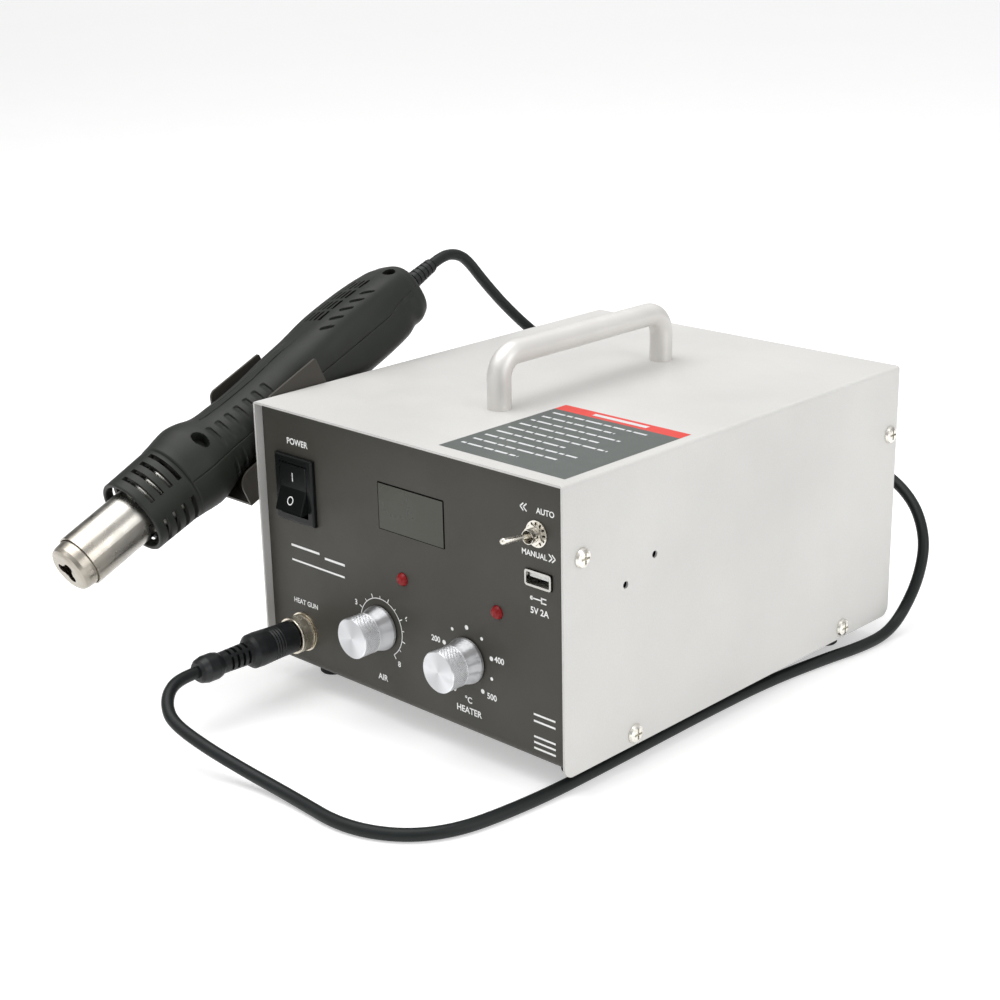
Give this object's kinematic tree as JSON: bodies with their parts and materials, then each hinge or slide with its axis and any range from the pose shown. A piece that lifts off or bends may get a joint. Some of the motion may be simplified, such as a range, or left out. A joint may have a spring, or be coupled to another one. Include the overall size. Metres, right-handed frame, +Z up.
{
  "type": "hot air station",
  "caption": "Bench hot air rework station: sheet metal case with carry handle, dials, display and switch, and a hot air gun on a cord, parked in a side cradle.",
  "frame": {"origin": "on the bench, under the middle of the box that holds the whole object without its cord", "axes": "+Z up, the front panel faces -Y, the gun hangs on the -X side"},
  "size_m": [0.2423, 0.3812, 0.178],
  "materials": {
    "cover_paint": "light grey textured powder coat",
    "panel_paint": "dark warm grey satin powder coat",
    "cradle_paint": "dark warm grey satin powder coat",
    "screw_steel": "nickel plated",
    "foot_rubber": "black moulded",
    "handle_metal": "satin",
    "switch_plastic": "black",
    "switch_metal": "nickel plated",
    "switch_phenolic": "brown phenolic",
    "smoked_window": "smoked acrylic",
    "display_body": "potted digits",
    "circuit_board": "green solder mask",
    "lamp_red": "red translucent",
    "usb_steel": "nickel plated",
    "usb_plastic": "white insert",
    "knob_metal": "spun and knurled",
    "shaft_metal": "turned",
    "socket_metal": "warm nickel plated",
    "plug_rubber": "black moulded",
    "magnet_coat": "nickel coated",
    "inlet_plastic": "black thermoplastic",
    "pin_brass": "nickel flashed",
    "sink_metal": "extruded",
    "can_sleeve": "blue shrink sleeve",
    "fuse_glass": "clear tube and caps",
    "core_steel": "varnished laminations",
    "winding_tape": "yellow tape",
    "gun_plastic": "dark grey moulded, fine texture",
    "tube_steel": "polished stainless",
    "cap_steel": "polished stainless",
    "mica": "mica sheet",
    "ceramic": "unglazed ceramic",
    "coil_wire": "resistance wire",
    "fan_plastic": "black",
    "motor_metal": "plated can",
    "cord_rubber": "dark grey silicone"
  },
  "bodies": {
    "station": {"top_cover": "cover_paint", "base_chassis": "panel_paint", "case_screws": "screw_steel", "rubber_feet": "foot_rubber", "foot_screws": "screw_steel", "carry_handle": "handle_metal", "handle_screws": "screw_steel", "rocker_housing": "switch_plastic", "toggle_body": "switch_phenolic", "toggle_bushing": "switch_metal", "toggle_washer": "switch_metal", "toggle_nut": "switch_metal", "display_window": "smoked_window", "display_module": "display_body", "panel_board": "circuit_board", "led_lamps": "lamp_red", "usb_shell": "usb_steel", "usb_tongue": "usb_plastic", "usb_board": "circuit_board", "potentiometers": "switch_phenolic", "pot_nuts": "switch_metal", "gun_socket": "socket_metal", "socket_nut": "socket_metal", "gun_plug": "plug_rubber", "holder_bracket": "cradle_paint", "bracket_screws": "screw_steel", "cradle_magnet": "magnet_coat", "mains_inlet": "inlet_plastic", "inlet_pins": "pin_brass", "inlet_screws": "screw_steel", "main_board": "circuit_board", "board_standoffs": "pin_brass", "heat_sink": "sink_metal", "power_triac": "fan_plastic", "smoothing_capacitors": "can_sleeve", "glass_fuse": "fuse_glass", "transformer_core": "core_steel", "transformer_windings": "winding_tape", "gun_cord": "cord_rubber"},
    "rocker_paddle": {"rocker": "switch_plastic"},
    "toggle": {"toggle_lever": "switch_metal"},
    "air_dial": {"air_knob": "knob_metal", "air_knob_shaft": "shaft_metal"},
    "heater_dial": {"heater_knob": "knob_metal", "heater_knob_shaft": "shaft_metal"},
    "plug_ring": {"coupling_ring": "socket_metal"},
    "hot_air_gun": {"gun_shell_upper": "gun_plastic", "gun_shell_lower": "gun_plastic", "gun_screws": "screw_steel", "heater_tube": "tube_steel", "nozzle_cap": "cap_steel", "mica_sleeve": "mica", "heater_core": "ceramic", "heating_coil": "coil_wire", "thermocouple": "coil_wire", "blower_housing": "fan_plastic", "blower_motor": "motor_metal", "sensor_board": "circuit_board", "gun_cord_relief": "plug_rubber"},
    "impeller": {"blower_impeller": "fan_plastic"}
  },
  "joints": [
    {"name": "power_rocker", "type": "hinge", "parent": "station", "child": "rocker_paddle", "pos_m": [-0.0483, -0.06537, 0.0975], "axis": [1, 0, 0], "range_deg": [0, 20]},
    {"name": "mode_toggle", "type": "hinge", "parent": "station", "child": "toggle", "pos_m": [0.0984, -0.06837, 0.1108], "axis": [0, 0, 1], "range_deg": [0, 32]},
    {"name": "air_dial_turn", "type": "hinge", "parent": "station", "child": "air_dial", "pos_m": [0.0042, -0.06737, 0.045], "axis": [0, 1, 0], "range_deg": [-150, 150]},
    {"name": "heater_dial_turn", "type": "hinge", "parent": "station", "child": "heater_dial", "pos_m": [0.0577, -0.06737, 0.045], "axis": [0, 1, 0], "range_deg": [-150, 150]},
    {"name": "plug_ring_turn", "type": "hinge", "parent": "station", "child": "plug_ring", "pos_m": [-0.0488, -0.06737, 0.0284], "axis": [0, -1, 0], "range_deg": [0, 720]},
    {"name": "gun_lift", "type": "slide", "parent": "station", "child": "hot_air_gun", "axis": [0, -0.4035, 0.915], "range_m": [0, 0.06]},
    {"name": "impeller_spin", "type": "hinge", "parent": "hot_air_gun", "child": "impeller", "pos_m": [-0.0943, 0.01251, 0.1494], "axis": [0, 0.915, 0.4035], "continuous": true}
  ]
}
